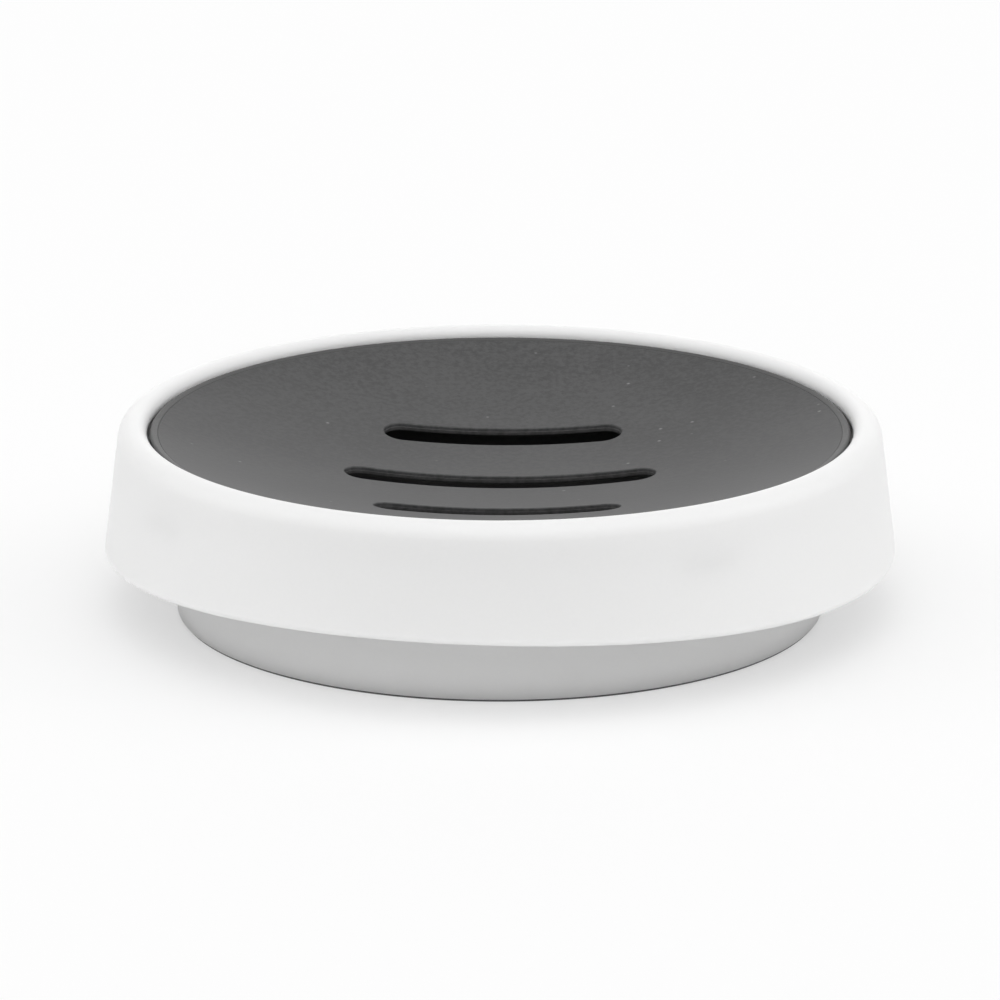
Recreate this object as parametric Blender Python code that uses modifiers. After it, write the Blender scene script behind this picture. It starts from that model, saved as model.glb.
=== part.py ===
"""Round soap dish: a white ring on a white foot, holding a lift-out tray and a slotted dish.

Lengths are in metres and angles in radians, with +Z up and Z = 0 on the surface it stands on.
"""
import math

import bmesh
import bpy
from mathutils import Matrix

# Clearances
FIT_GAP = 0.0003
LIFT_GAP = 0.0006
SKIRT_GAP = 0.0004

# Facets
ROUND_STEPS = 64
SLOT_STEPS = 24
DISH_STEPS = 8
SMOOTH_ANGLE = math.radians(32)
ARC_STEP = 0.0007
MOST_ARC_STEPS = 6

# Most of a profile's side that its two rounded corners may use up
MOST_OF_SIDE = 0.98

# Outer ring
RING_TOP = 0.02860
RING_MOUTH_RADIUS = 0.05215
RING_LIP_WIDTH = 0.00432
RING_WIDTH_HEIGHT = 0.0260
RING_FLARE = 0.125
RING_WALL = 0.0022
RING_LIP_THICKNESS = 0.0023
RING_SHOULDER_ROUND = 0.0030
RING_MOUTH_ROUND = 0.0013
RING_EDGE_ROUND = 0.0010
RING_EDGE_HEIGHT = 0.01002
RING_ARCH_RISE = 0.00154
RING_TURN = math.radians(-12.2)

# Snap lugs inside the ring
LUG_COUNT = 4
LUG_WIDTH = 0.0080
LUG_HEIGHT = 0.0019
LUG_HOOK = 0.0010
LUG_ROOT = 0.0010

# Base
STAND_HEIGHT = 0.00035
FOOT_RADIUS = 0.0479
FOOT_FLARE = 0.03
FOOT_HEIGHT = 0.0090
FOOT_BEND_ROUND = 0.0080
FOOT_EDGE_ROUND = 0.0003
BASE_WALL = 0.0020
BASE_FLOOR = 0.0015
BASE_FLOOR_ROUND = 0.0030
BASE_RIM_HEIGHT = 0.0041
BASE_RIM_SETBACK = 0.0008
BASE_SEAT_WIDTH = 0.00227
UNDERSIDE_RECESS = 0.0010
UNDERSIDE_LAND = 0.0016

# Non-slip ring and the groove that holds it
NON_SLIP_INSET = 0.0011
NON_SLIP_WIDTH = 0.0030
NON_SLIP_ROUND = 0.0003
GROOVE_DEPTH = 0.0010

# Dished upper face, which the insert and the tray's lip share
DISH_TOP = 0.02755
DISH_DEPTH = 0.00868
DISH_POWER = 1.98

# Drain insert
INSERT_PLATE = 0.0012
INSERT_RIM_THICKNESS = 0.0015
INSERT_RIM_ROUND = 0.0002
INSERT_SKIRT_THICKNESS = 0.0010
INSERT_SKIRT_DEPTH = 0.0020
SLOT_WIDTH = 0.0062
SLOT_SPACING = 0.0201
MIDDLE_SLOT_LENGTH = 0.0461
SIDE_SLOT_LENGTH = 0.0359

# Drip tray
TRAY_WALL = 0.0015
TRAY_LEDGE_THICKNESS = 0.0015
TRAY_LIP_WIDTH = 0.0009
TRAY_LIP_ROUND = 0.0004
TRAY_FLOOR_ROUND = 0.0040

# Small rounding of moulded edges that stay out of sight
SMALL_ROUND = 0.0003

# Radii and heights that follow from the values above
RING_RADIUS = RING_MOUTH_RADIUS + RING_LIP_WIDTH
TRAY_RIM_RADIUS = RING_MOUTH_RADIUS - LIFT_GAP
TRAY_LIP_BORE_RADIUS = TRAY_RIM_RADIUS - TRAY_LIP_WIDTH
INSERT_RADIUS = TRAY_LIP_BORE_RADIUS - FIT_GAP
INSERT_RIM_TOP = DISH_TOP - DISH_DEPTH * (1.0 - (INSERT_RADIUS / TRAY_RIM_RADIUS) ** DISH_POWER)
INSERT_SEAT = INSERT_RIM_TOP - INSERT_RIM_THICKNESS
TRAY_LEDGE_TOP = INSERT_SEAT - FIT_GAP
TRAY_SEAT = TRAY_LEDGE_TOP - TRAY_LEDGE_THICKNESS
BASE_SEAT = TRAY_SEAT - FIT_GAP
BASE_RIM_BORE_RADIUS = RING_MOUTH_RADIUS + BASE_RIM_SETBACK
BASE_BORE_RADIUS = BASE_RIM_BORE_RADIUS - BASE_SEAT_WIDTH
BASE_RIM_TOP = RING_TOP - RING_LIP_THICKNESS - FIT_GAP
BASE_RIM_UNDERSIDE = BASE_RIM_TOP - BASE_RIM_HEIGHT
BASE_FLOOR_UNDERSIDE = STAND_HEIGHT + UNDERSIDE_RECESS
BASE_FLOOR_TOP = BASE_FLOOR_UNDERSIDE + BASE_FLOOR
FOOT_TOP_RADIUS = FOOT_RADIUS + FOOT_FLARE * (FOOT_HEIGHT - STAND_HEIGHT)
NON_SLIP_OUTER_RADIUS = FOOT_RADIUS - NON_SLIP_INSET
TRAY_RADIUS = BASE_BORE_RADIUS - FIT_GAP
TRAY_MOUTH_RADIUS = TRAY_RADIUS - TRAY_WALL
TRAY_UNDERSIDE = BASE_FLOOR_TOP + FIT_GAP
SKIRT_RADIUS = TRAY_MOUTH_RADIUS - SKIRT_GAP

# Slope of the bowl's cone: how much its radius grows for each unit of height
BOWL_SLOPE = (BASE_BORE_RADIUS + BASE_WALL - FOOT_TOP_RADIUS) / (BASE_RIM_UNDERSIDE - FOOT_HEIGHT)

COLLECTION_NAME = "soap_dish"
TOOL_COLLECTION_NAME = "cutters"

WHITE_PLASTIC = ("white_plastic", (0.80, 0.80, 0.80, 1.0), 0.45)
GREY_PLASTIC = ("grey_plastic", (0.105, 0.106, 0.108, 1.0), 0.60)
GREY_RUBBER = ("grey_rubber", (0.16, 0.16, 0.16, 1.0), 0.85)


def clear_scene():
    """Remove what the new file holds."""
    for old in list(bpy.data.objects):
        bpy.data.objects.remove(old, do_unlink=True)


def new_collection(name):
    """A collection linked to the scene."""
    collection = bpy.data.collections.new(name)
    bpy.context.scene.collection.children.link(collection)
    return collection


def plastic(node, recipe):
    """A Principled material of its own for one sub-part."""
    name, colour, roughness = recipe
    material = bpy.data.materials.new(node + "_" + name)
    material.use_nodes = True
    shader = material.node_tree.nodes["Principled BSDF"]
    shader.inputs["Base Color"].default_value = colour
    shader.inputs["Roughness"].default_value = roughness
    shader.inputs["Metallic"].default_value = 0.0
    material.diffuse_color = colour
    return material


def corner_half_angle(before, corner, after):
    """Half the angle between the two sides that meet at a corner of a profile."""
    to_before = (before[0] - corner[0], before[1] - corner[1])
    to_after = (after[0] - corner[0], after[1] - corner[1])
    dot = to_before[0] * to_after[0] + to_before[1] * to_after[1]
    cosine = dot / math.hypot(*to_before) / math.hypot(*to_after)
    return math.acos(max(-1.0, min(1.0, cosine))) / 2.0


def corner_points(before, corner, after, reach):
    """Points of the arc that rounds one corner; it starts and ends at reach from the corner."""
    if reach <= 0.0:
        return [(corner[0], corner[1])]
    half_angle = corner_half_angle(before, corner, after)
    radius = reach * math.tan(half_angle)
    length_before = math.dist(before[:2], corner[:2])
    length_after = math.dist(after[:2], corner[:2])
    unit_before = ((before[0] - corner[0]) / length_before, (before[1] - corner[1]) / length_before)
    unit_after = ((after[0] - corner[0]) / length_after, (after[1] - corner[1]) / length_after)
    bisector = (unit_before[0] + unit_after[0], unit_before[1] + unit_after[1])
    to_centre = radius / math.sin(half_angle) / math.hypot(*bisector)
    centre = (corner[0] + bisector[0] * to_centre, corner[1] + bisector[1] * to_centre)
    start = (corner[0] + unit_before[0] * reach, corner[1] + unit_before[1] * reach)
    end = (corner[0] + unit_after[0] * reach, corner[1] + unit_after[1] * reach)
    first = math.atan2(start[1] - centre[1], start[0] - centre[0])
    last = math.atan2(end[1] - centre[1], end[0] - centre[0])
    sweep = math.remainder(last - first, 2.0 * math.pi)
    steps = max(1, min(MOST_ARC_STEPS, math.ceil(abs(sweep) * radius / ARC_STEP)))
    angles = [first + sweep * step / steps for step in range(steps + 1)]
    return [(centre[0] + radius * math.cos(a), centre[1] + radius * math.sin(a)) for a in angles]


def rounded_profile(corners, closed):
    """Profile through (radius, height, rounding) corners, with each corner rounded."""
    count = len(corners)
    reaches = []
    for index, corner in enumerate(corners):
        if corner[2] <= 0.0 or (not closed and index in (0, count - 1)):
            reaches.append(0.0)
            continue
        half_angle = corner_half_angle(corners[index - 1], corner, corners[(index + 1) % count])
        reaches.append(corner[2] / math.tan(half_angle))
    points = []
    for index, corner in enumerate(corners):
        before = index - 1
        after = (index + 1) % count
        reach = reaches[index]
        for other in (before, after):
            side = math.dist(corner[:2], corners[other][:2])
            if reach > 0.0:
                reach = min(reach, MOST_OF_SIDE * side * reaches[index] / (reaches[index] + reaches[other]))
        points.extend(corner_points(corners[before], corner, corners[after], reach))
    return points


def turned(node, profile, closed, origin_height, collection):
    """Turn a profile about Z; it runs down the outer side of the piece."""
    mesh = bpy.data.meshes.new(node)
    vertices = [(radius, 0.0, height - origin_height) for radius, height in profile]
    edges = [(index, index + 1) for index in range(len(profile) - 1)]
    if closed:
        edges.append((len(profile) - 1, 0))
    mesh.from_pydata(vertices, edges, [])
    piece = bpy.data.objects.new(node, mesh)
    piece.location = (0.0, 0.0, origin_height)
    collection.objects.link(piece)
    screw = piece.modifiers.new("turned", "SCREW")
    screw.axis = "Z"
    screw.steps = ROUND_STEPS
    screw.render_steps = ROUND_STEPS
    screw.use_merge_vertices = True
    screw.merge_threshold = 0.00001
    screw.use_smooth_shade = True
    return piece


def settle(piece):
    """Replace a piece's modifiers by the mesh that they give."""
    bpy.context.view_layer.update()
    depsgraph = bpy.context.evaluated_depsgraph_get()
    mesh = bpy.data.meshes.new_from_object(piece.evaluated_get(depsgraph))
    piece.modifiers.clear()
    old = piece.data
    piece.data = mesh
    bpy.data.meshes.remove(old)
    mesh.name = piece.name


def finish_piece(piece, recipe):
    """Settle the mesh, shade it smooth between its edges and give it its material."""
    settle(piece)
    mesh = piece.data
    mesh.shade_smooth()
    mesh.set_sharp_from_angle(angle=SMOOTH_ANGLE)
    mesh.materials.clear()
    mesh.materials.append(plastic(piece.name, recipe))


def mesh_tool(name, shape, collection):
    """A guide object for a Boolean, drawn as wire and left out of renders."""
    mesh = bpy.data.meshes.new(name)
    shape.normal_update()
    shape.to_mesh(mesh)
    shape.free()
    tool = bpy.data.objects.new(name, mesh)
    tool.display_type = "WIRE"
    tool.hide_render = True
    collection.objects.link(tool)
    return tool


def add_boolean(piece, tool, operation):
    """Cut a tool from a piece, or join it to the piece."""
    boolean = piece.modifiers.new(tool.name, "BOOLEAN")
    boolean.operation = operation
    boolean.solver = "EXACT"
    boolean.object = tool


def ring_wall_radius(height):
    """Radius of the ring's flared outer face."""
    return RING_RADIUS + RING_FLARE * (RING_WIDTH_HEIGHT - height)


def arch_ring_edge(piece):
    """Slide the lower edge along the flared wall, so that it arches up at two sides."""
    settle(piece)
    wall_top = RING_TOP - RING_LIP_THICKNESS
    wall_foot = RING_EDGE_HEIGHT + RING_EDGE_ROUND
    for vertex in piece.data.vertices:
        height = vertex.co.z + piece.location.z
        share = max(0.0, min(1.0, (wall_top - height) / (wall_top - wall_foot)))
        radius = math.hypot(vertex.co.x, vertex.co.y)
        angle = math.atan2(vertex.co.y, vertex.co.x)
        rise = -RING_ARCH_RISE * math.cos(2.0 * angle) * share
        shrink = (radius - RING_FLARE * rise) / radius
        vertex.co.x *= shrink
        vertex.co.y *= shrink
        vertex.co.z += rise


def lug_tool(index, origin_height, collection):
    """One snap lug, a block with a sloped lower face that rides over the base's rim."""
    top = BASE_RIM_UNDERSIDE - FIT_GAP
    rim_radius = ring_wall_radius(top) - RING_WALL
    inner = rim_radius - FIT_GAP - LUG_HOOK
    outer = rim_radius + LUG_ROOT
    shape = bmesh.new()
    bmesh.ops.create_cube(shape, size=1.0)
    size = Matrix.Diagonal((outer - inner, LUG_WIDTH, LUG_HEIGHT, 1.0))
    place = Matrix.Translation(((inner + outer) / 2.0, 0.0, top - LUG_HEIGHT / 2.0 - origin_height))
    bmesh.ops.transform(shape, matrix=place @ size, verts=shape.verts)
    middle = (inner + outer) / 2.0
    for vertex in shape.verts:
        if vertex.co.x < middle and vertex.co.z + origin_height < top - LUG_HEIGHT / 2.0:
            vertex.co.x += LUG_HOOK
    turn = (index + 0.5) * 2.0 * math.pi / LUG_COUNT
    bmesh.ops.rotate(shape, cent=(0.0, 0.0, 0.0), matrix=Matrix.Rotation(turn, 3, "Z"), verts=shape.verts)
    return mesh_tool("snap_lug_%d" % (index + 1), shape, collection)


def make_outer_ring(collection, tools):
    """White ring with an inward lip, a flared wall and an arched lower edge."""
    lip_underside = RING_TOP - RING_LIP_THICKNESS
    corners = [
        (RING_MOUTH_RADIUS, RING_TOP, RING_MOUTH_ROUND),
        (ring_wall_radius(RING_TOP), RING_TOP, RING_SHOULDER_ROUND),
        (ring_wall_radius(RING_EDGE_HEIGHT), RING_EDGE_HEIGHT, RING_EDGE_ROUND),
        (ring_wall_radius(RING_EDGE_HEIGHT) - RING_WALL, RING_EDGE_HEIGHT, SMALL_ROUND),
        (ring_wall_radius(lip_underside) - RING_WALL, lip_underside, SMALL_ROUND),
        (RING_MOUTH_RADIUS, lip_underside, SMALL_ROUND),
    ]
    origin = lip_underside
    ring = turned("outer_ring", rounded_profile(corners, True), True, origin, collection)
    arch_ring_edge(ring)
    ring.rotation_euler = (0.0, 0.0, RING_TURN)
    for index in range(LUG_COUNT):
        tool = lug_tool(index, origin, tools)
        tool.parent = ring
        add_boolean(ring, tool, "UNION")
    finish_piece(ring, WHITE_PLASTIC)
    return ring


def make_base(collection):
    """White bowl on a foot, with a rim under the ring's lip and a seat for the tray."""
    rim_radius = ring_wall_radius(BASE_RIM_TOP) - RING_WALL - FIT_GAP
    rim_low_radius = ring_wall_radius(BASE_RIM_UNDERSIDE) - RING_WALL - FIT_GAP
    floor_radius = BASE_BORE_RADIUS - BOWL_SLOPE * (BASE_SEAT - BASE_FLOOR_TOP)
    groove_outer = NON_SLIP_OUTER_RADIUS + FIT_GAP
    groove_inner = NON_SLIP_OUTER_RADIUS - NON_SLIP_WIDTH - FIT_GAP
    groove_top = STAND_HEIGHT + GROOVE_DEPTH
    land_radius = groove_inner - UNDERSIDE_LAND
    corners = [
        (0.0, BASE_FLOOR_TOP, 0.0),
        (floor_radius, BASE_FLOOR_TOP, BASE_FLOOR_ROUND),
        (BASE_BORE_RADIUS, BASE_SEAT, SMALL_ROUND),
        (BASE_RIM_BORE_RADIUS, BASE_SEAT, 0.0),
        (BASE_RIM_BORE_RADIUS, BASE_RIM_TOP, SMALL_ROUND),
        (rim_radius, BASE_RIM_TOP, SMALL_ROUND),
        (rim_low_radius, BASE_RIM_UNDERSIDE, 0.0),
        (BASE_BORE_RADIUS + BASE_WALL, BASE_RIM_UNDERSIDE, SMALL_ROUND),
        (FOOT_TOP_RADIUS, FOOT_HEIGHT, FOOT_BEND_ROUND),
        (FOOT_RADIUS, STAND_HEIGHT, FOOT_EDGE_ROUND),
        (groove_outer, STAND_HEIGHT, 0.0),
        (groove_outer, groove_top, 0.0),
        (groove_inner, groove_top, 0.0),
        (groove_inner, STAND_HEIGHT, 0.0),
        (land_radius, STAND_HEIGHT, SMALL_ROUND),
        (land_radius - UNDERSIDE_RECESS, BASE_FLOOR_UNDERSIDE, SMALL_ROUND),
        (0.0, BASE_FLOOR_UNDERSIDE, 0.0),
    ]
    base = turned("base", rounded_profile(corners, False), False, STAND_HEIGHT, collection)
    finish_piece(base, WHITE_PLASTIC)
    return base


def make_non_slip_ring(collection):
    """Rubber ring in the foot's groove, standing a little proud of it."""
    outer = NON_SLIP_OUTER_RADIUS
    inner = outer - NON_SLIP_WIDTH
    top = STAND_HEIGHT + GROOVE_DEPTH - FIT_GAP
    corners = [
        (inner, top, 0.0),
        (outer, top, 0.0),
        (outer, 0.0, NON_SLIP_ROUND),
        (inner, 0.0, NON_SLIP_ROUND),
    ]
    ring = turned("non_slip_ring", rounded_profile(corners, True), True, 0.0, collection)
    finish_piece(ring, GREY_RUBBER)
    return ring


def dish_height(radius):
    """Height of the dished upper face."""
    return DISH_TOP - DISH_DEPTH * (1.0 - (radius / TRAY_RIM_RADIUS) ** DISH_POWER)


def make_drip_tray(collection):
    """Dark bowl that hangs by its ledge on the base's seat, with a lip around the insert."""
    floor_top = TRAY_UNDERSIDE + TRAY_WALL
    outer_floor = TRAY_RADIUS - BOWL_SLOPE * (TRAY_SEAT - TRAY_UNDERSIDE)
    inner_floor = TRAY_MOUTH_RADIUS - BOWL_SLOPE * (TRAY_SEAT - floor_top)
    corners = [
        (0.0, floor_top, 0.0),
        (inner_floor, floor_top, TRAY_FLOOR_ROUND),
        (TRAY_MOUTH_RADIUS, TRAY_SEAT, SMALL_ROUND),
        (TRAY_MOUTH_RADIUS, TRAY_LEDGE_TOP, SMALL_ROUND),
        (TRAY_LIP_BORE_RADIUS, TRAY_LEDGE_TOP, 0.0),
        (TRAY_LIP_BORE_RADIUS, dish_height(TRAY_LIP_BORE_RADIUS), INSERT_RIM_ROUND),
        (TRAY_RIM_RADIUS, DISH_TOP, TRAY_LIP_ROUND),
        (TRAY_RIM_RADIUS, TRAY_SEAT, SMALL_ROUND),
        (TRAY_RADIUS, TRAY_SEAT, 0.0),
        (outer_floor, TRAY_UNDERSIDE, TRAY_FLOOR_ROUND),
        (0.0, TRAY_UNDERSIDE, 0.0),
    ]
    tray = turned("drip_tray", rounded_profile(corners, False), False, TRAY_SEAT, collection)
    finish_piece(tray, GREY_PLASTIC)
    return tray


def insert_profile():
    """Section of the dished plate, with its thick rim and the skirt that centres it."""
    skirt_inner = SKIRT_RADIUS - INSERT_SKIRT_THICKNESS
    skirt_bottom = INSERT_SEAT - INSERT_SKIRT_DEPTH
    top_end = INSERT_RADIUS - 2.0 * INSERT_RIM_ROUND
    top_radii = [top_end * step / DISH_STEPS for step in range(DISH_STEPS + 1)]
    rim = [
        (top_end, dish_height(top_end), 0.0),
        (INSERT_RADIUS, INSERT_RIM_TOP, INSERT_RIM_ROUND),
        (INSERT_RADIUS, INSERT_SEAT, SMALL_ROUND),
        (SKIRT_RADIUS, INSERT_SEAT, 0.0),
        (SKIRT_RADIUS, skirt_bottom, SMALL_ROUND),
        (skirt_inner, skirt_bottom, SMALL_ROUND),
        (skirt_inner, dish_height(skirt_inner) - INSERT_PLATE, 0.0),
    ]
    low_radii = [skirt_inner * step / DISH_STEPS for step in range(DISH_STEPS)]
    upper = [(radius, dish_height(radius)) for radius in top_radii[:-1]]
    lower = [(radius, dish_height(radius) - INSERT_PLATE) for radius in reversed(low_radii)]
    return upper + rounded_profile(rim, False) + lower


def slot_tool(name, length, offset, origin_height, collection):
    """A slot cutter with round ends: a cylinder whose halves are drawn apart."""
    radius = SLOT_WIDTH / 2.0
    low = DISH_TOP - DISH_DEPTH - 2.0 * INSERT_PLATE
    high = INSERT_RIM_TOP
    step = math.pi / SLOT_STEPS
    shape = bmesh.new()
    bmesh.ops.create_cone(shape, cap_ends=True, segments=SLOT_STEPS, radius1=radius / math.cos(step),
                          radius2=radius / math.cos(step), depth=high - low,
                          matrix=Matrix.Rotation(step, 4, "Z"))
    for vertex in shape.verts:
        vertex.co.x += math.copysign(length / 2.0 - radius, vertex.co.x)
        vertex.co.y += offset
        vertex.co.z += (high + low) / 2.0 - origin_height
    return mesh_tool(name, shape, collection)


def make_drain_insert(collection, tools):
    """Dished plate with three parallel slots, lying on the tray's ledge inside its lip."""
    insert = turned("drain_insert", insert_profile(), False, INSERT_SEAT, collection)
    lengths = {-1: SIDE_SLOT_LENGTH, 0: MIDDLE_SLOT_LENGTH, 1: SIDE_SLOT_LENGTH}
    for place, length in lengths.items():
        name = "slot_cutter_%d" % (place + 2)
        tool = slot_tool(name, length, place * SLOT_SPACING, INSERT_SEAT, tools)
        tool.location = insert.location
        add_boolean(insert, tool, "DIFFERENCE")
    finish_piece(insert, GREY_PLASTIC)
    return insert


def carry(piece, carrier):
    """Parent a piece to what carries it, without moving it."""
    bpy.context.view_layer.update()
    piece.parent = carrier
    piece.matrix_parent_inverse = carrier.matrix_world.inverted()


def main():
    clear_scene()
    collection = new_collection(COLLECTION_NAME)
    tools = new_collection(TOOL_COLLECTION_NAME)
    base = make_base(collection)
    ring = make_outer_ring(collection, tools)
    non_slip_ring = make_non_slip_ring(collection)
    tray = make_drip_tray(collection)
    insert = make_drain_insert(collection, tools)
    carry(ring, base)
    carry(non_slip_ring, base)
    carry(tray, base)
    carry(insert, tray)
    bpy.context.view_layer.update()


main()
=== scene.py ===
"""Looks of the round soap dish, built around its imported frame."""

import math

import bmesh
import bpy
from mathutils import Matrix, Vector
from mathutils.geometry import delaunay_2d_cdt


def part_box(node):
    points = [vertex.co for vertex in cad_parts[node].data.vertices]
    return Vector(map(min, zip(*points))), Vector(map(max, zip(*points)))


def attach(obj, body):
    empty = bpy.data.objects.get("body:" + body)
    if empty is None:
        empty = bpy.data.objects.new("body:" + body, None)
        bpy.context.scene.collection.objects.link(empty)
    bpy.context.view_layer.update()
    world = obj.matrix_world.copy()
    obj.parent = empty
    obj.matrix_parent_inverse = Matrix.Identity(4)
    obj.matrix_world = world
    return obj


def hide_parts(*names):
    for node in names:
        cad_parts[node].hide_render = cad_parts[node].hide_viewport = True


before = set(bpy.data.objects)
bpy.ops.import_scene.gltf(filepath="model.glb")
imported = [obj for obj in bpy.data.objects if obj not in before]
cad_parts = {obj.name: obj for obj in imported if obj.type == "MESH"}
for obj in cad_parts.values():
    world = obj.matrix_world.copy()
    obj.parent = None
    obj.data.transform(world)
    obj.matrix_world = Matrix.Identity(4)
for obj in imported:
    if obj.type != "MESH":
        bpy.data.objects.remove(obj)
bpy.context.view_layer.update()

# How finely the visible meshes are made
TURN_STEPS = 384
ARC_STEP = 0.00009
LEAST_ARC_STEPS = 2
MOST_ARC_STEPS = 24
RING_LONGEST_STEP = 0.002
BOWL_LONGEST_STEP = 0.004
SLOT_END_STEPS = 28
SLOT_SIDE_STEPS = 36
SLOT_ROUND_STEPS = 6

# Grid that fills the insert's two sheets, and how far it stays from their edges
SHEET_STEP = 0.0012
SHEET_MARGIN = 0.6 * SHEET_STEP

# Most of a side that the roundings at its two ends may take up
MOST_OF_SIDE = 0.98

# Angle above which an edge is shaded as a sharp one
SHARP_ANGLE = math.radians(40.0)

# Lengths too small to count: a point on the axis, one place in the sheet, a slot's edge, a weld
ON_AXIS = 1e-7
SAME_PLACE = 1e-8
SLOT_EDGE_SLACK = 1e-6
WELD_DISTANCE = 2e-6

# Sizes that the frame gives
_, RING_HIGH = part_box("outer_ring")
BASE_LOW, BASE_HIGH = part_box("base")
_, INSERT_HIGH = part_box("drain_insert")
TRAY_LOW, TRAY_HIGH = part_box("drip_tray")
RUBBER_LOW, RUBBER_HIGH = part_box("non_slip_ring")

# Clearances, as in the solids
FIT_GAP = 0.0003
LIFT_GAP = 0.0006
SKIRT_GAP = 0.0004

# How far the insert's and the tray's edges reach into the gaps around them, to show these as fine lines
SEAM_SIDE = 0.00014

# Outer ring; its width is taken at RING_WIDTH_HEIGHT, and its wall flares out below that
RING_TOP = RING_HIGH.z
RING_MOUTH_RADIUS = TRAY_HIGH.x + LIFT_GAP
RING_LIP_WIDTH = 0.00432
RING_WIDTH_HEIGHT = 0.0260
RING_FLARE = 0.125
RING_WALL = 0.0022
RING_LIP_THICKNESS = 0.0023
RING_SHOULDER_ROUND = 0.0030
RING_MOUTH_ROUND = 0.0018
RING_EDGE_ROUND = 0.0010
RING_EDGE_HEIGHT = 0.01002
RING_ARCHES = 2
RING_ARCH_RISE = 0.00154
RING_TURN = math.radians(-12.2)

# Snap lugs inside the ring, which reach LUG_HOOK under the base's rim and LUG_ROOT into the wall
LUG_COUNT = 4
LUG_WIDTH = 0.0080
LUG_HEIGHT = 0.0019
LUG_HOOK = 0.0010
LUG_ROOT = 0.0010

# Base
STAND_HEIGHT = BASE_LOW.z
FOOT_RADIUS = 0.0479
FOOT_FLARE = 0.03
FOOT_HEIGHT = 0.0090
FOOT_BEND_ROUND = 0.0080
FOOT_EDGE_ROUND = 0.0001
BASE_WALL = 0.0020
BASE_FLOOR = 0.0015
BASE_FLOOR_ROUND = 0.0030
BASE_RIM_HEIGHT = 0.0041
BASE_RIM_SETBACK = 0.0008
BASE_SEAT_WIDTH = 0.00227
UNDERSIDE_RECESS = 0.0010
UNDERSIDE_LAND = 0.0016

# Rubber ring, with a thin flange under the foot; the flange's dark rubber also stands in for the contact
# shadow along the foot's lower edge, as painted shade
RUBBER_RADIUS = RUBBER_HIGH.x
RUBBER_WIDTH = 0.0030
RUBBER_ROUND = 0.0001
RUBBER_FLANGE = 0.0008
RUBBER_FLANGE_GAP = 0.00003
GROOVE_DEPTH = 0.0010

# Dished upper face, which the insert and the tray's lip share
DISH_TOP = TRAY_HIGH.z
DISH_DEPTH = 0.00868
DISH_POWER = 1.98

# Drain insert; the ledge in its slots lies at SLOT_LEDGE_TOP to SLOT_LEDGE_FOOT below the upper face
INSERT_RADIUS = INSERT_HIGH.x + SEAM_SIDE
INSERT_PLATE = 0.0012
INSERT_RIM_THICKNESS = 0.0015
INSERT_RIM_ROUND = 0.00005
INSERT_SKIRT_THICKNESS = 0.0010
INSERT_SKIRT_DEPTH = 0.0020
SLOT_WIDTH = 0.0062
SLOT_SPACING = 0.0201
MIDDLE_SLOT_LENGTH = 0.0461
SIDE_SLOT_LENGTH = 0.0359
SLOT_EDGE_ROUND = 0.0002
SLOT_LEDGE = 0.00007
SLOT_LEDGE_TOP = 0.00052
SLOT_LEDGE_FOOT = 0.00056

# Drip tray; TRAY_LIP_TONE is the part of its colour that is kept on its lip
TRAY_WALL = 0.0015
TRAY_LEDGE_THICKNESS = 0.0015
TRAY_LIP_ROUND = 0.0004
TRAY_LIP_TONE = 0.47
TRAY_FLOOR_ROUND = 0.0040

# Rounding of moulded edges
SMALL_ROUND = 0.0003

# Sizes that follow
RING_RADIUS = RING_MOUTH_RADIUS + RING_LIP_WIDTH
TRAY_RIM_RADIUS = TRAY_HIGH.x
TRAY_LIP_BORE_RADIUS = INSERT_HIGH.x + FIT_GAP - SEAM_SIDE
INSERT_SEAT = INSERT_HIGH.z - INSERT_RIM_THICKNESS
TRAY_LEDGE_TOP = INSERT_SEAT - FIT_GAP
TRAY_SEAT = TRAY_LEDGE_TOP - TRAY_LEDGE_THICKNESS
BASE_SEAT = TRAY_SEAT - FIT_GAP
BASE_RIM_BORE_RADIUS = RING_MOUTH_RADIUS + BASE_RIM_SETBACK
BASE_BORE_RADIUS = BASE_RIM_BORE_RADIUS - BASE_SEAT_WIDTH
BASE_RIM_TOP = BASE_HIGH.z
BASE_RIM_UNDERSIDE = BASE_RIM_TOP - BASE_RIM_HEIGHT
BASE_FLOOR_UNDERSIDE = STAND_HEIGHT + UNDERSIDE_RECESS
BASE_FLOOR_TOP = BASE_FLOOR_UNDERSIDE + BASE_FLOOR
FOOT_TOP_RADIUS = FOOT_RADIUS + FOOT_FLARE * (FOOT_HEIGHT - STAND_HEIGHT)
TRAY_RADIUS = BASE_BORE_RADIUS - FIT_GAP
TRAY_MOUTH_RADIUS = TRAY_RADIUS - TRAY_WALL
TRAY_UNDERSIDE = TRAY_LOW.z
SKIRT_RADIUS = TRAY_MOUTH_RADIUS - SKIRT_GAP
BOWL_SLOPE = (BASE_BORE_RADIUS + BASE_WALL - FOOT_TOP_RADIUS) / (BASE_RIM_UNDERSIDE - FOOT_HEIGHT)

# The three slots, each with its length and its place along Y
SLOTS = (
    (SIDE_SLOT_LENGTH, -SLOT_SPACING),
    (MIDDLE_SLOT_LENGTH, 0.0),
    (SIDE_SLOT_LENGTH, SLOT_SPACING),
)

# Grain of moulded plastic: wide clouds, and a grain whose size each material gives
CLOUD_SCALE = 45.0
CLOUD_DETAIL = 3.0
CLOUD_SHARE = 0.2
GRAIN_DETAIL = 4.0
GRAIN_ROUGHNESS = 0.62
GRAIN_SHARE = 0.8
FINER_GRAIN = 3.1
FINER_GRAIN_DETAIL = 2.0
FINER_GRAIN_RELIEF = 0.5
RELIEF_DEPTH = 0.00004

# Noise levels between which the colour and the gloss change, and how much the roughness changes
COLOUR_NOISE = (0.4, 0.6)
GLOSS_NOISE = (0.3, 0.7)
GLOSS_CHANGE = 0.05

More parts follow.
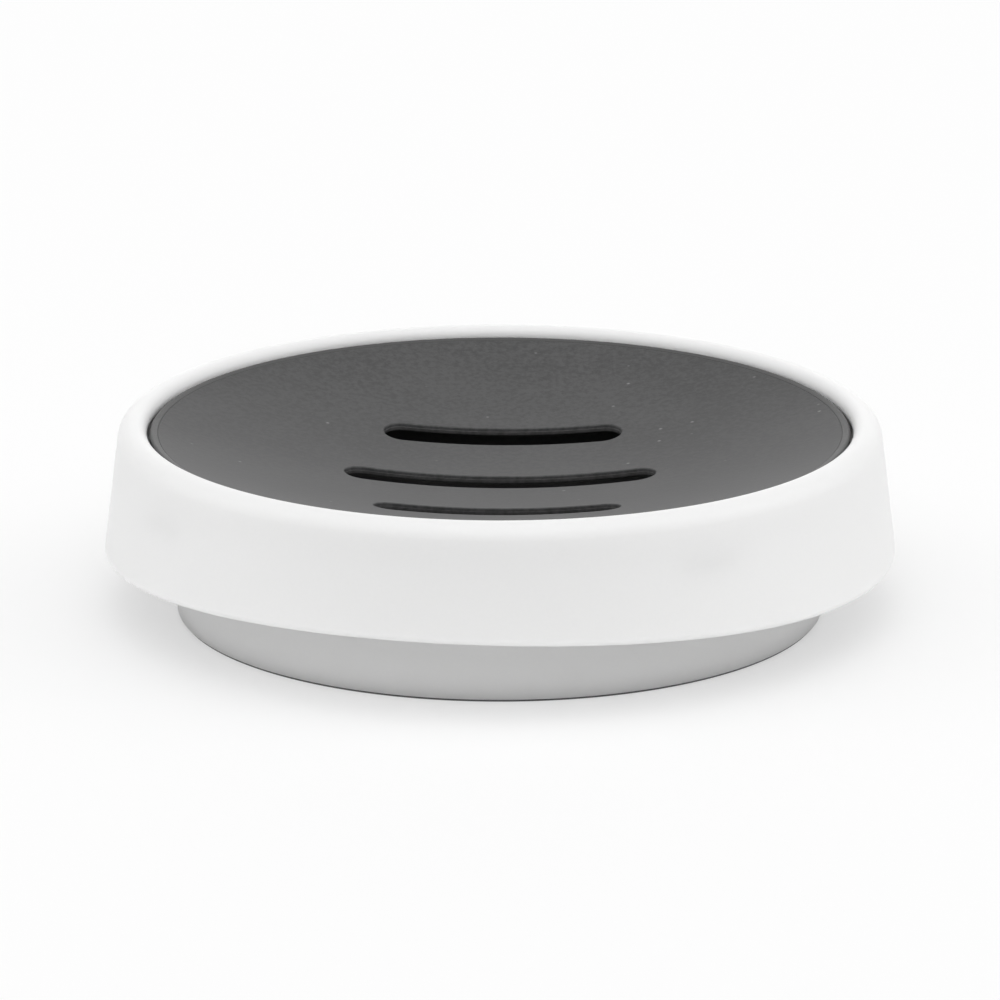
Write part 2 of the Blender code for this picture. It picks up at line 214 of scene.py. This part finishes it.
# Fine flecks in the insert's plastic: one cell in ten has a dot, which fades from its core to its edge
FLECK_TONE = 0.30
FLECK_SCALE = 420.0
FLECK_CORE = 0.02
FLECK_EDGE = 0.15
FLECK_CHOICE = 0.90

# Camera, a little to the right of straight in front; its lens and sensor are in millimetres
CAMERA_DISTANCE = 1.0
CAMERA_AIM_HEIGHT = 0.01598
CAMERA_ELEVATION = math.radians(16.26)
CAMERA_AZIMUTH = math.radians(1.2)
CAMERA_LENS = 243.0
CAMERA_SENSOR = 36.0
CAMERA_NEAR = 0.01
CAMERA_FAR = 20.0

# Floor and background; the camera sees the floor lifted by FLOOR_LIFT towards the background
FLOOR_RADIUS = 3.0
FLOOR_SIDES = 96
FLOOR_COLOUR = 0.95
FLOOR_LIFT = 0.46
BACKGROUND_LEVEL = 0.97

# Soft lights of the studio: azimuth from +X and elevation in degrees, focus, level
OVERHEAD_LIGHT = (0.0, 90.0, 10.0, 1.35)
FRONT_TOP_LIGHT = (-90.0, 48.0, 10.0, 2.15)
FRONT_LIGHT = (-90.0, 4.0, 24.0, 0.4)
BACK_WALL_LIGHT = (90.0, 8.0, 6.0, 1.6)
LEFT_LIGHT = (180.0, 31.0, 6.0, 1.65)
RIGHT_LIGHT = (0.0, 31.0, 6.0, 1.85)
STUDIO_LIGHTS = (OVERHEAD_LIGHT, FRONT_TOP_LIGHT, FRONT_LIGHT, BACK_WALL_LIGHT, LEFT_LIGHT, RIGHT_LIGHT)


def corner_half_angle(before, corner, after):
    """Half the angle between the two sides that meet at a corner of a profile."""
    vertex = Vector(corner[:2])
    return (Vector(before[:2]) - vertex).angle(Vector(after[:2]) - vertex) / 2.0


def corner_points(before, corner, after, reach):
    """Points of the arc that rounds one corner; it starts and ends at reach from the corner."""
    if reach <= 0.0:
        return [(corner[0], corner[1])]
    vertex = Vector(corner[:2])
    towards_before = (Vector(before[:2]) - vertex).normalized()
    towards_after = (Vector(after[:2]) - vertex).normalized()
    half_angle = corner_half_angle(before, corner, after)
    radius = reach * math.tan(half_angle)
    middle = (towards_before + towards_after).normalized()
    centre = vertex + middle * (radius / math.sin(half_angle))
    start = vertex + towards_before * reach - centre
    end = vertex + towards_after * reach - centre
    first = math.atan2(start.y, start.x)
    sweep = math.remainder(math.atan2(end.y, end.x) - first, 2.0 * math.pi)
    steps = max(LEAST_ARC_STEPS, min(MOST_ARC_STEPS, math.ceil(abs(sweep) * radius / ARC_STEP)))
    angles = [first + sweep * step / steps for step in range(steps + 1)]
    return [(centre.x + radius * math.cos(angle), centre.y + radius * math.sin(angle)) for angle in angles]


def rounded_profile(corners, closed):
    """Profile through (radius, height, rounding) corners, with each corner rounded.

    Two roundings that would overlap share the side between them.
    """
    count = len(corners)
    reaches = []
    for index, corner in enumerate(corners):
        if corner[2] <= 0.0 or (not closed and index in (0, count - 1)):
            reaches.append(0.0)
            continue
        half_angle = corner_half_angle(corners[index - 1], corner, corners[(index + 1) % count])
        reaches.append(corner[2] / math.tan(half_angle))
    points = []
    for index, corner in enumerate(corners):
        before = index - 1
        after = (index + 1) % count
        reach = reaches[index]
        for other in (before, after):
            side = math.dist(corner[:2], corners[other][:2])
            if reach > 0.0:
                reach = min(reach, MOST_OF_SIDE * side * reaches[index] / (reaches[index] + reaches[other]))
        points.extend(corner_points(corners[before], corner, corners[after], reach))
    return points


def split_long_steps(profile, longest, closed):
    """Add points along the profile's long straight runs, so that bump and shading stay even."""
    points = []
    count = len(profile)
    last = count if closed else count - 1
    for index in range(last):
        start = profile[index]
        end = profile[(index + 1) % count]
        parts = max(1, math.ceil(math.dist(start, end) / longest))
        for part in range(parts):
            share = part / parts
            points.append((start[0] + (end[0] - start[0]) * share, start[1] + (end[1] - start[1]) * share))
    if not closed:
        points.append(profile[-1])
    return points


def circle_points(radius):
    """Points of a circle about the dish's axis, anticlockwise from above."""
    angles = [2.0 * math.pi * step / TURN_STEPS for step in range(TURN_STEPS)]
    return [(radius * math.cos(angle), radius * math.sin(angle)) for angle in angles]


def turned_faces(shape, profile, closed):
    """Add a profile turned about Z to a mesh; it runs down the outer side of the piece."""
    rings = []
    for radius, height in profile:
        points = circle_points(radius) if radius > ON_AXIS else [(0.0, 0.0)]
        rings.append([shape.verts.new((x, y, height)) for x, y in points])
    pairs = list(zip(rings, rings[1:]))
    if closed:
        pairs.append((rings[-1], rings[0]))
    for upper, lower in pairs:
        for step in range(TURN_STEPS):
            after = (step + 1) % TURN_STEPS
            if len(upper) == 1:
                shape.faces.new((upper[0], lower[step], lower[after]))
            elif len(lower) == 1:
                shape.faces.new((upper[after], upper[step], lower[0]))
            else:
                shape.faces.new((upper[step], lower[step], lower[after], upper[after]))


def new_piece(name, shape, body, material, slot, *nodes):
    """Turn a finished mesh into a piece of the object that stands for its CAD nodes."""
    mesh = bpy.data.meshes.new(name)
    shape.normal_update()
    shape.to_mesh(mesh)
    shape.free()
    mesh.shade_smooth()
    mesh.set_sharp_from_angle(angle=SHARP_ANGLE)
    mesh.materials.append(material)
    piece = bpy.data.objects.new(name, mesh)
    bpy.context.scene.collection.objects.link(piece)
    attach(piece, body)
    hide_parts(*nodes)
    return piece


def ring_wall_radius(height):
    """Radius of the ring's flared outer face."""
    return RING_RADIUS + RING_FLARE * (RING_WIDTH_HEIGHT - height)


def arch_ring_edge(shape, wall_top):
    """Slide the ring's lower edge along its flared wall, so that it arches up at two sides."""
    wall_foot = RING_EDGE_HEIGHT + RING_EDGE_ROUND
    for vertex in shape.verts:
        share = max(0.0, min(1.0, (wall_top - vertex.co.z) / (wall_top - wall_foot)))
        radius = vertex.co.xy.length
        angle = math.atan2(vertex.co.y, vertex.co.x)
        rise = -RING_ARCH_RISE * math.cos(RING_ARCHES * angle) * share
        shrink = (radius - RING_FLARE * rise) / radius
        vertex.co = (vertex.co.x * shrink, vertex.co.y * shrink, vertex.co.z + rise)


def add_lug(shape, index):
    """Add one snap lug to the ring, a block with a sloped lower face under the base's rim."""
    top = BASE_RIM_UNDERSIDE - FIT_GAP
    rim_radius = ring_wall_radius(top) - RING_WALL
    inner = rim_radius - FIT_GAP - LUG_HOOK
    outer = rim_radius + LUG_ROOT
    middle = (inner + outer) / 2.0
    block = bmesh.ops.create_cube(shape, size=1.0)["verts"]
    size = Matrix.Diagonal((outer - inner, LUG_WIDTH, LUG_HEIGHT, 1.0))
    place = Matrix.Translation((middle, 0.0, top - LUG_HEIGHT / 2.0))
    bmesh.ops.transform(shape, matrix=place @ size, verts=block)
    for vertex in block:
        if vertex.co.x < middle and vertex.co.z < top - LUG_HEIGHT / 2.0:
            vertex.co.x += LUG_HOOK
    turn = (index + 0.5) * 2.0 * math.pi / LUG_COUNT
    bmesh.ops.rotate(shape, cent=(0.0, 0.0, 0.0), matrix=Matrix.Rotation(turn, 3, "Z"), verts=block)


def make_ring(material):
    """The white ring with its arched lower edge and the lugs that hold it to the base."""
    lip_underside = RING_TOP - RING_LIP_THICKNESS
    corners = [
        (RING_MOUTH_RADIUS, RING_TOP, RING_MOUTH_ROUND),
        (ring_wall_radius(RING_TOP), RING_TOP, RING_SHOULDER_ROUND),
        (ring_wall_radius(RING_EDGE_HEIGHT), RING_EDGE_HEIGHT, RING_EDGE_ROUND),
        (ring_wall_radius(RING_EDGE_HEIGHT) - RING_WALL, RING_EDGE_HEIGHT, SMALL_ROUND),
        (ring_wall_radius(lip_underside) - RING_WALL, lip_underside, SMALL_ROUND),
        (RING_MOUTH_RADIUS, lip_underside, SMALL_ROUND),
    ]
    profile = split_long_steps(rounded_profile(corners, closed=True), RING_LONGEST_STEP, closed=True)
    shape = bmesh.new()
    turned_faces(shape, profile, closed=True)
    arch_ring_edge(shape, lip_underside)
    for index in range(LUG_COUNT):
        add_lug(shape, index)
    turn = Matrix.Rotation(RING_TURN, 3, "Z")
    bmesh.ops.rotate(shape, cent=(0.0, 0.0, 0.0), matrix=turn, verts=shape.verts)
    return new_piece("ring_shell", shape, "base", material, "ring_plastic", "outer_ring")


def make_base(material):
    """The white bowl and its foot."""
    rim_radius = ring_wall_radius(BASE_RIM_TOP) - RING_WALL - FIT_GAP
    rim_low_radius = ring_wall_radius(BASE_RIM_UNDERSIDE) - RING_WALL - FIT_GAP
    floor_radius = BASE_BORE_RADIUS - BOWL_SLOPE * (BASE_SEAT - BASE_FLOOR_TOP)
    groove_outer = RUBBER_RADIUS + FIT_GAP
    groove_inner = RUBBER_RADIUS - RUBBER_WIDTH - FIT_GAP
    groove_top = STAND_HEIGHT + GROOVE_DEPTH
    land_radius = groove_inner - UNDERSIDE_LAND
    corners = [
        (0.0, BASE_FLOOR_TOP, 0.0),
        (floor_radius, BASE_FLOOR_TOP, BASE_FLOOR_ROUND),
        (BASE_BORE_RADIUS, BASE_SEAT, SMALL_ROUND),
        (BASE_RIM_BORE_RADIUS, BASE_SEAT, 0.0),
        (BASE_RIM_BORE_RADIUS, BASE_RIM_TOP, SMALL_ROUND),
        (rim_radius, BASE_RIM_TOP, SMALL_ROUND),
        (rim_low_radius, BASE_RIM_UNDERSIDE, 0.0),
        (BASE_BORE_RADIUS + BASE_WALL, BASE_RIM_UNDERSIDE, SMALL_ROUND),
        (FOOT_TOP_RADIUS, FOOT_HEIGHT, FOOT_BEND_ROUND),
        (FOOT_RADIUS, STAND_HEIGHT, FOOT_EDGE_ROUND),
        (groove_outer, STAND_HEIGHT, 0.0),
        (groove_outer, groove_top, 0.0),
        (groove_inner, groove_top, 0.0),
        (groove_inner, STAND_HEIGHT, 0.0),
        (land_radius, STAND_HEIGHT, SMALL_ROUND),
        (land_radius - UNDERSIDE_RECESS, BASE_FLOOR_UNDERSIDE, SMALL_ROUND),
        (0.0, BASE_FLOOR_UNDERSIDE, 0.0),
    ]
    profile = split_long_steps(rounded_profile(corners, closed=False), BOWL_LONGEST_STEP, closed=False)
    shape = bmesh.new()
    turned_faces(shape, profile, closed=False)
    return new_piece("foot_bowl", shape, "base", material, "base_plastic", "base")


def make_rubber_ring(material):
    """The rubber ring under the foot, with a flange that shows as a dark line below the foot: partly the
    rubber itself, partly painted contact shadow.
    """
    inner = RUBBER_RADIUS - RUBBER_WIDTH
    flange_top = STAND_HEIGHT - RUBBER_FLANGE_GAP
    corners = [
        (inner, RUBBER_HIGH.z, 0.0),
        (RUBBER_RADIUS, RUBBER_HIGH.z, 0.0),
        (RUBBER_RADIUS, flange_top, 0.0),
        # The flange reaches close to the foot's edge, so its dark rubber takes the place of the contact
        # shadow there: painted shade
        (RUBBER_RADIUS + RUBBER_FLANGE, flange_top, RUBBER_FLANGE_GAP),
        (RUBBER_RADIUS + RUBBER_FLANGE, RUBBER_LOW.z, RUBBER_ROUND),
        (inner, RUBBER_LOW.z, RUBBER_ROUND),
    ]
    shape = bmesh.new()
    turned_faces(shape, rounded_profile(corners, closed=True), closed=True)
    return new_piece("rubber_ring", shape, "base", material, "foot_rubber", "non_slip_ring")


def dish_height(radius):
    """Height of the dished upper face."""
    return DISH_TOP - DISH_DEPTH * (1.0 - (radius / TRAY_RIM_RADIUS) ** DISH_POWER)


def make_tray(material):
    """The dark bowl that catches the water, with its lip around the insert."""
    floor_top = TRAY_UNDERSIDE + TRAY_WALL
    outer_floor = TRAY_RADIUS - BOWL_SLOPE * (TRAY_SEAT - TRAY_UNDERSIDE)
    inner_floor = TRAY_MOUTH_RADIUS - BOWL_SLOPE * (TRAY_SEAT - floor_top)
    corners = [
        (0.0, floor_top, 0.0),
        (inner_floor, floor_top, TRAY_FLOOR_ROUND),
        (TRAY_MOUTH_RADIUS, TRAY_SEAT, SMALL_ROUND),
        (TRAY_MOUTH_RADIUS, TRAY_LEDGE_TOP, SMALL_ROUND),
        (TRAY_LIP_BORE_RADIUS, TRAY_LEDGE_TOP, 0.0),
        (TRAY_LIP_BORE_RADIUS, dish_height(TRAY_LIP_BORE_RADIUS), INSERT_RIM_ROUND),
        (TRAY_RIM_RADIUS + SEAM_SIDE, DISH_TOP, TRAY_LIP_ROUND),
        (TRAY_RIM_RADIUS + SEAM_SIDE, TRAY_SEAT, SMALL_ROUND),
        (TRAY_RADIUS, TRAY_SEAT, 0.0),
        (outer_floor, TRAY_UNDERSIDE, TRAY_FLOOR_ROUND),
        (0.0, TRAY_UNDERSIDE, 0.0),
    ]
    profile = split_long_steps(rounded_profile(corners, closed=False), BOWL_LONGEST_STEP, closed=False)
    shape = bmesh.new()
    turned_faces(shape, profile, closed=False)
    return new_piece("tray_bowl", shape, "drip_tray", material, "tray_plastic", "drip_tray")


def slot_outline(length, offset_y, outset):
    """Outline of a slot with round ends, grown by outset, anticlockwise from above."""
    radius = SLOT_WIDTH / 2.0
    half = length / 2.0 - radius
    points = []
    for side in (1, -1):
        for step in range(SLOT_END_STEPS):
            angle = math.pi * step / SLOT_END_STEPS - math.pi / 2.0
            x = half + (radius + outset) * math.cos(angle)
            y = (radius + outset) * math.sin(angle)
            points.append((side * x, side * y + offset_y))
        for step in range(SLOT_SIDE_STEPS):
            x = half - 2.0 * half * step / SLOT_SIDE_STEPS
            points.append((side * x, side * (radius + outset) + offset_y))
    return points


def in_slot(x, y, margin):
    """Whether a point lies in one of the slots, or within a margin of it."""
    for length, offset_y in SLOTS:
        half = length / 2.0 - SLOT_WIDTH / 2.0
        nearest = max(-half, min(half, x))
        if math.hypot(x - nearest, y - offset_y) < SLOT_WIDTH / 2.0 + margin:
            return True
    return False


def sheet_grid(edge_radius, outset):
    """Points of a triangular grid that fill the sheet between its edge and its slots."""
    row_step = SHEET_STEP * math.sqrt(3.0) / 2.0
    rows = math.ceil(edge_radius / row_step)
    points = []
    for row in range(-rows, rows + 1):
        shift = SHEET_STEP / 2.0 if row % 2 else 0.0
        for column in range(-rows, rows + 1):
            x = column * SHEET_STEP + shift
            y = row * row_step
            inside = math.hypot(x, y) < edge_radius - SHEET_MARGIN
            if inside and not in_slot(x, y, outset + SHEET_MARGIN):
                points.append((x, y))
    return points


def sheet_faces(shape, edge_radius, outset, drop, upward):
    """Triangulate a dished sheet, drop below the dish, out to a circle, leaving out the slots."""
    outlines = [circle_points(edge_radius)]
    outlines += [slot_outline(length, offset_y, outset) for length, offset_y in SLOTS]
    points = []
    edges = []
    for outline in outlines:
        first = len(points)
        count = len(outline)
        points.extend(outline)
        edges.extend((first + index, first + (index + 1) % count) for index in range(count))
    points.extend(sheet_grid(edge_radius, outset))
    flat = [Vector(point) for point in points]
    found, _, triangles, _, _, _ = delaunay_2d_cdt(flat, edges, [], 0, SAME_PLACE)
    vertices = [shape.verts.new((p.x, p.y, dish_height(p.length) - drop)) for p in found]
    for triangle in triangles:
        middle = sum((found[index] for index in triangle), Vector((0.0, 0.0))) / 3.0
        if in_slot(middle.x, middle.y, outset - SLOT_EDGE_SLACK):
            continue
        order = triangle if upward else reversed(triangle)
        shape.faces.new([vertices[index] for index in order])


def slot_wall_levels():
    """Levels of a slot's wall, as (outset, drop): rounded edges, and a ledge that narrows the lower half."""
    angles = [0.5 * math.pi * step / SLOT_ROUND_STEPS for step in range(SLOT_ROUND_STEPS + 1)]
    levels = []
    for angle in angles:
        outset = SLOT_EDGE_ROUND * (1.0 - math.sin(angle))
        drop = SLOT_EDGE_ROUND * (1.0 - math.cos(angle))
        levels.append((outset, drop))
    levels.append((0.0, SLOT_LEDGE_TOP))
    levels.append((-SLOT_LEDGE, SLOT_LEDGE_FOOT))
    for angle in reversed(angles):
        outset = SMALL_ROUND * (1.0 - math.sin(angle)) - SLOT_LEDGE
        drop = INSERT_PLATE - SMALL_ROUND * (1.0 - math.cos(angle))
        levels.append((outset, drop))
    return levels


def slot_wall_faces(shape, length, offset_y):
    """Add the wall of one slot, which joins the insert's two sheets."""
    rings = []
    for outset, drop in slot_wall_levels():
        outline = slot_outline(length, offset_y, outset)
        rings.append([shape.verts.new((x, y, dish_height(math.hypot(x, y)) - drop)) for x, y in outline])
    count = len(rings[0])
    for upper, lower in zip(rings, rings[1:]):
        for index in range(count):
            after = (index + 1) % count
            shape.faces.new((upper[after], upper[index], lower[index], lower[after]))


def make_insert(material):
    """The dished plate with its slots, rim and skirt."""
    skirt_inner = SKIRT_RADIUS - INSERT_SKIRT_THICKNESS
    skirt_bottom = INSERT_SEAT - INSERT_SKIRT_DEPTH
    top_end = INSERT_RADIUS - 2.0 * INSERT_RIM_ROUND
    rim = [
        (top_end, dish_height(top_end), 0.0),
        (INSERT_RADIUS, dish_height(INSERT_RADIUS), INSERT_RIM_ROUND),
        (INSERT_RADIUS, INSERT_SEAT, SMALL_ROUND),
        (SKIRT_RADIUS, INSERT_SEAT, 0.0),
        (SKIRT_RADIUS, skirt_bottom, SMALL_ROUND),
        (skirt_inner, skirt_bottom, SMALL_ROUND),
        (skirt_inner, dish_height(skirt_inner) - INSERT_PLATE, 0.0),
    ]
    shape = bmesh.new()
    turned_faces(shape, rounded_profile(rim, closed=False), closed=False)
    sheet_faces(shape, top_end, outset=SLOT_EDGE_ROUND, drop=0.0, upward=True)
    sheet_faces(shape, skirt_inner, outset=SMALL_ROUND - SLOT_LEDGE, drop=INSERT_PLATE, upward=False)
    for length, offset_y in SLOTS:
        slot_wall_faces(shape, length, offset_y)
    bmesh.ops.remove_doubles(shape, verts=shape.verts, dist=WELD_DISTANCE)
    return new_piece("insert_plate", shape, "drain_insert", material, "insert_plastic", "drain_insert")


class Nodes:
    """A short way to write a material's or a world's node tree."""

    def __init__(self, tree):
        self.tree = tree

    def add(self, kind, settings=None, **values):
        """Add a node with its settings, and a value or a link for each input that is named."""
        node = self.tree.nodes.new(kind)
        for name, value in (settings or {}).items():
            setattr(node, name, value)
        for name, value in values.items():
            self.set(node, name.replace("_", " "), value)
        return node

    def set(self, node, name, value):
        """Give an input, found by its name or its number, a value or a link."""
        socket = node.inputs[int(name)] if name.isdigit() else node.inputs[name]
        if isinstance(value, bpy.types.NodeSocket):
            self.tree.links.new(value, socket)
        else:
            socket.default_value = value

    def maths(self, operation, first, second=0.0):
        """A sum, product or other operation on two values."""
        node = self.add("ShaderNodeMath", {"operation": operation})
        self.set(node, "0", first)
        self.set(node, "1", second)
        return node.outputs[0]

    def ramp(self, value, low, high, to_low, to_high):
        """A value carried from one range to another, and held at its ends."""
        node = self.add("ShaderNodeMapRange", {"clamp": True})
        self.set(node, "Value", value)
        self.set(node, "From Min", low)
        self.set(node, "From Max", high)
        self.set(node, "To Min", to_low)
        self.set(node, "To Max", to_high)
        return node.outputs["Result"]

    def noise(self, coordinates, scale, detail, roughness=0.5):
        """Cloudy noise around 0.5."""
        node = self.add("ShaderNodeTexNoise", Vector=coordinates, Scale=scale, Detail=detail,
                        Roughness=roughness)
        return node.outputs["Fac"]

    def mix_colours(self, share, first, second, blend="MIX"):
        """Two colours mixed; inputs 6 and 7 and output 2 are the node's colour ones."""
        node = self.add("ShaderNodeMix", {"data_type": "RGBA", "blend_type": blend})
        self.set(node, "0", share)
        self.set(node, "6", first)
        self.set(node, "7", second)
        return node.outputs[2]

    def mix_values(self, share, first, second):
        """Two values mixed; inputs 2 and 3 and output 0 are the node's ones for values."""
        node = self.add("ShaderNodeMix", {"data_type": "FLOAT"})
        self.set(node, "0", share)
        self.set(node, "2", first)
        self.set(node, "3", second)
        return node.outputs[0]


def new_material(name):
    """An empty material and its node writer."""
    material = bpy.data.materials.new(name)
    material.use_nodes = True
    tree = material.node_tree
    tree.nodes.clear()
    return material, Nodes(tree)


def grey(value):
    """A grey with full alpha."""
    return (value, value, value, 1.0)


def mottled_colour(nodes, colour, variation, cloud, fine):
    """A colour that gets darker and lighter with the clouds and the grain."""
    cloud_part = nodes.maths("MULTIPLY", cloud, CLOUD_SHARE)
    grain_part = nodes.maths("MULTIPLY", fine, GRAIN_SHARE)
    tone = nodes.maths("ADD", cloud_part, grain_part)
    darkest = tuple(channel * (1.0 - variation) for channel in colour) + (1.0,)
    lightest = tuple(min(1.0, channel * (1.0 + variation)) for channel in colour) + (1.0,)
    return nodes.mix_colours(nodes.ramp(tone, *COLOUR_NOISE, 0.0, 1.0), darkest, lightest)


def flecked_colour(nodes, shade, place, speckle):
    """A colour with sparse pale dots over it."""
    cells = nodes.add("ShaderNodeTexVoronoi", {"feature": "F1"}, Vector=place, Scale=FLECK_SCALE)
    near = nodes.ramp(cells.outputs["Distance"], FLECK_CORE, FLECK_EDGE, 1.0, 0.0)
    pick = nodes.add("ShaderNodeSeparateColor")
    nodes.set(pick, "0", cells.outputs["Color"])
    chosen = nodes.maths("GREATER_THAN", pick.outputs[0], FLECK_CHOICE)
    dot = nodes.maths("MULTIPLY", near, chosen)
    return nodes.mix_colours(nodes.maths("MULTIPLY", dot, speckle), shade, grey(FLECK_TONE))


def colour_darkened_above(nodes, shade, place, height, kept):
    """A colour of which only a part is kept above a height."""
    here = nodes.add("ShaderNodeSeparateXYZ", Vector=place).outputs["Z"]
    above = nodes.maths("GREATER_THAN", here, height)
    return nodes.mix_colours(above, shade, grey(kept), "MULTIPLY")


def moulded_plastic(name, colour, variation, roughness, grain, bump, speckle=0.0, softness=0.0, rim=None):
    """Matte moulded plastic: fine grain, slightly uneven colour and gloss.

    The grain is a length, and softness is how far light scatters inside the plastic. The rim is the height
    above which the colour is darkened, and the part of it that is kept there.
    """
    material, nodes = new_material(name)
    place = nodes.add("ShaderNodeTexCoord").outputs["Object"]
    cloud = nodes.noise(place, CLOUD_SCALE, CLOUD_DETAIL)
    fine = nodes.noise(place, 1.0 / grain, GRAIN_DETAIL, GRAIN_ROUGHNESS)
    finer = nodes.noise(place, FINER_GRAIN / grain, FINER_GRAIN_DETAIL)
    shade = mottled_colour(nodes, colour, variation, cloud, fine)
    if speckle > 0.0:
        shade = flecked_colour(nodes, shade, place, speckle)
    if rim is not None:
        shade = colour_darkened_above(nodes, shade, place, *rim)
    shader = nodes.add("ShaderNodeBsdfPrincipled")
    nodes.set(shader, "Base Color", shade)
    if softness > 0.0:
        nodes.set(shader, "Subsurface Weight", 1.0)
        nodes.set(shader, "Subsurface Radius", (1.0, 1.0, 1.0))
        nodes.set(shader, "Subsurface Scale", softness)
    gloss = nodes.ramp(fine, *GLOSS_NOISE, roughness - GLOSS_CHANGE, roughness + GLOSS_CHANGE)
    nodes.set(shader, "Roughness", gloss)
    relief = nodes.add("ShaderNodeBump", Strength=bump, Distance=RELIEF_DEPTH)
    nodes.set(relief, "Height", nodes.maths("ADD", fine, nodes.maths("MULTIPLY", finer, FINER_GRAIN_RELIEF)))
    nodes.set(shader, "Normal", relief.outputs[0])
    output = nodes.add("ShaderNodeOutputMaterial")
    nodes.set(output, "Surface", shader.outputs[0])
    return material


def white_plastic():
    """Satin white plastic of the ring and the base, which lets light in a little."""
    return moulded_plastic(
        "white_moulded_plastic",
        colour=(0.842, 0.842, 0.84),
        variation=0.004,
        roughness=0.48,
        grain=0.0005,
        bump=0.10,
        softness=0.0022,
    )


def insert_plastic():
    """Dark grey plastic of the insert, with a mottled grain and sparse pale flecks."""
    return moulded_plastic(
        "dark_grey_moulded_plastic",
        colour=(0.060, 0.060, 0.0605),
        variation=0.24,
        roughness=0.55,
        grain=0.0009,
        bump=0.6,
        speckle=0.7,
    )


def tray_plastic():
    """Plainer grey of the tray, which is about as dark as the insert on its lip."""
    return moulded_plastic(
        "tray_grey_plastic",
        colour=(0.14, 0.14, 0.14),
        variation=0.04,
        roughness=0.5,
        grain=0.0005,
        bump=0.2,
        rim=(TRAY_LEDGE_TOP + TRAY_LIP_ROUND, TRAY_LIP_TONE),
    )


def foot_rubber():
    """Dull grey rubber of the ring under the foot."""
    return moulded_plastic(
        "grey_rubber",
        colour=(0.16, 0.16, 0.16),
        variation=0.05,
        roughness=0.8,
        grain=0.0004,
        bump=0.3,
    )


def make_floor():
    """A plain pale floor, which the camera sees part of the way towards the white behind it."""
    shape = bmesh.new()
    bmesh.ops.create_circle(shape, cap_ends=True, segments=FLOOR_SIDES, radius=FLOOR_RADIUS)
    mesh = bpy.data.meshes.new("floor")
    shape.to_mesh(mesh)
    shape.free()
    floor = bpy.data.objects.new("floor", mesh)
    bpy.context.scene.collection.objects.link(floor)
    material, nodes = new_material("pale_floor")
    shader = nodes.add("ShaderNodeBsdfDiffuse", Color=grey(FLOOR_COLOUR))
    white = nodes.add("ShaderNodeEmission", Color=grey(BACKGROUND_LEVEL))
    path = nodes.add("ShaderNodeLightPath")
    lifted = nodes.add("ShaderNodeMixShader")
    nodes.set(lifted, "0", nodes.maths("MULTIPLY", path.outputs["Is Camera Ray"], FLOOR_LIFT))
    nodes.set(lifted, "1", shader.outputs[0])
    nodes.set(lifted, "2", white.outputs[0])
    output = nodes.add("ShaderNodeOutputMaterial")
    nodes.set(output, "Surface", lifted.outputs[0])
    mesh.materials.append(material)


def soft_light(nodes, place, azimuth, elevation, focus, strength):
    """Glow of one soft light, which fades with the angle from its middle."""
    heading = Matrix.Rotation(math.radians(azimuth), 3, "Z")
    tilt = Matrix.Rotation(-math.radians(elevation), 3, "Y")
    towards = nodes.add("ShaderNodeVectorMath", {"operation": "DOT_PRODUCT"})
    nodes.set(towards, "0", place)
    nodes.set(towards, "1", heading @ tilt @ Vector((1.0, 0.0, 0.0)))
    facing = nodes.maths("MAXIMUM", towards.outputs["Value"], 0.0)
    return nodes.maths("MULTIPLY", nodes.maths("POWER", facing, focus), strength)


def make_world():
    """Soft light from above, in front, behind and both sides, and a white background for the camera."""
    world = bpy.data.worlds.new("studio")
    bpy.context.scene.world = world
    world.use_nodes = True
    world.node_tree.nodes.clear()
    nodes = Nodes(world.node_tree)
    place = nodes.add("ShaderNodeTexCoord").outputs["Generated"]
    level = 0.0
    for light in STUDIO_LIGHTS:
        level = nodes.maths("ADD", soft_light(nodes, place, *light), level)
    path = nodes.add("ShaderNodeLightPath")
    background = nodes.add("ShaderNodeBackground", Color=grey(1.0))
    strength = nodes.mix_values(path.outputs["Is Camera Ray"], level, BACKGROUND_LEVEL)
    nodes.set(background, "Strength", strength)
    output = nodes.add("ShaderNodeOutputWorld")
    nodes.set(output, "Surface", background.outputs[0])


def make_camera():
    """The photograph's long view from in front and a little above."""
    data = bpy.data.cameras.new("camera")
    data.lens = CAMERA_LENS
    data.sensor_width = CAMERA_SENSOR
    data.sensor_fit = "HORIZONTAL"
    data.clip_start = CAMERA_NEAR
    data.clip_end = CAMERA_FAR
    camera = bpy.data.objects.new("camera", data)
    bpy.context.scene.collection.objects.link(camera)
    level = CAMERA_DISTANCE * math.cos(CAMERA_ELEVATION)
    camera.location = (
        level * math.sin(CAMERA_AZIMUTH),
        -level * math.cos(CAMERA_AZIMUTH),
        CAMERA_AIM_HEIGHT + CAMERA_DISTANCE * math.sin(CAMERA_ELEVATION),
    )
    camera.rotation_euler = (math.pi / 2.0 - CAMERA_ELEVATION, 0.0, CAMERA_AZIMUTH)
    bpy.context.scene.camera = camera


def main():
    """Build the five pieces and the studio around them."""
    white = white_plastic()
    dark = insert_plastic()
    tray = tray_plastic()
    rubber = foot_rubber()
    make_ring(white)
    make_base(white)
    make_rubber_ring(rubber)
    make_tray(tray)
    make_insert(dark)
    make_floor()
    make_world()
    make_camera()
    bpy.context.scene.view_settings.view_transform = "Standard"


main()
